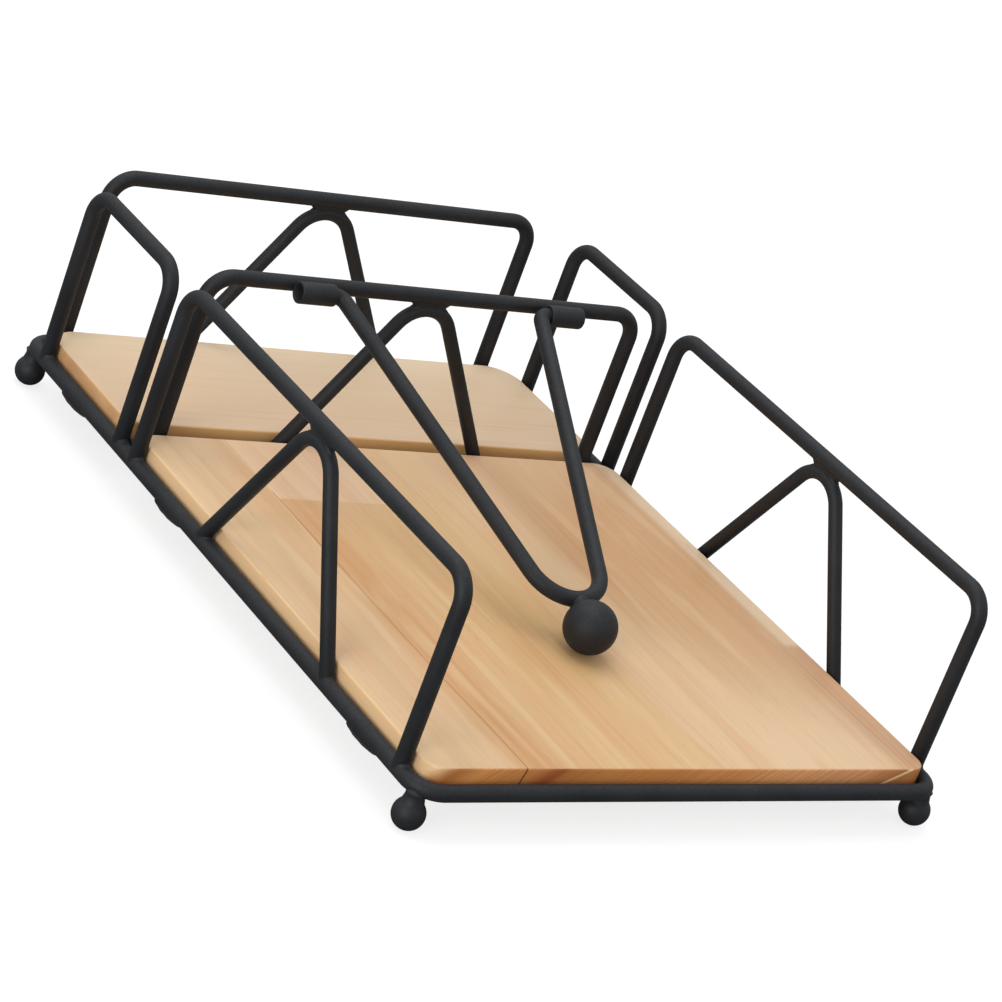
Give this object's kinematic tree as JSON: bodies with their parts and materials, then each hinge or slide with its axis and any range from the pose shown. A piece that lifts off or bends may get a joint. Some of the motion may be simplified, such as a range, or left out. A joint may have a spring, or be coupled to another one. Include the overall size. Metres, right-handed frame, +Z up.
{
  "type": "napkin holder",
  "caption": "Flat wire-frame napkin holder with wooden base boards, a hinged arm whose ball weight holds the napkins down, and a rear bay for shakers.",
  "frame": {"origin": "on the table, at the centre of the footprint", "axes": "+X to the right seen from the napkin bay's open front, +Y to the rear (shaker bay), +Z up"},
  "size_m": [0.1906, 0.2585, 0.0744],
  "materials": {
    "powder_coat": "matt black powder coat on mild steel wire",
    "board_wood": "edge-glued light hardwood, clear satin lacquer",
    "screw_steel": "plain zinc-plated pan-head screws, under the boards"
  },
  "bodies": {
    "frame": {"base_ring": "powder_coat", "mid_cross_rod": "powder_coat", "left_front_hoop": "powder_coat", "left_rear_hoop": "powder_coat", "right_front_hoop": "powder_coat", "right_rear_hoop": "powder_coat", "back_hoop": "powder_coat", "divider_hoop": "powder_coat", "left_brace": "powder_coat", "right_brace": "powder_coat", "back_brace": "powder_coat", "divider_brace": "powder_coat", "front_left_foot": "powder_coat", "front_right_foot": "powder_coat", "rear_left_foot": "powder_coat", "rear_right_foot": "powder_coat", "left_hinge_tube": "powder_coat", "right_hinge_tube": "powder_coat", "front_board": "board_wood", "back_board": "board_wood", "front_strap": "powder_coat", "middle_strap": "powder_coat", "rear_strap": "powder_coat", "front_left_screw": "screw_steel", "front_right_screw": "screw_steel", "middle_left_screw": "screw_steel", "middle_right_screw": "screw_steel", "rear_left_screw": "screw_steel", "rear_right_screw": "screw_steel"},
    "arm": {"pivot_arm": "powder_coat", "weight_ball": "powder_coat"}
  },
  "joints": [
    {"name": "arm_pivot", "type": "hinge", "parent": "frame", "child": "arm", "pos_m": [0, 0.05405, 0.071], "axis": [-1, 0, 0], "range_deg": [0, 140]}
  ]
}
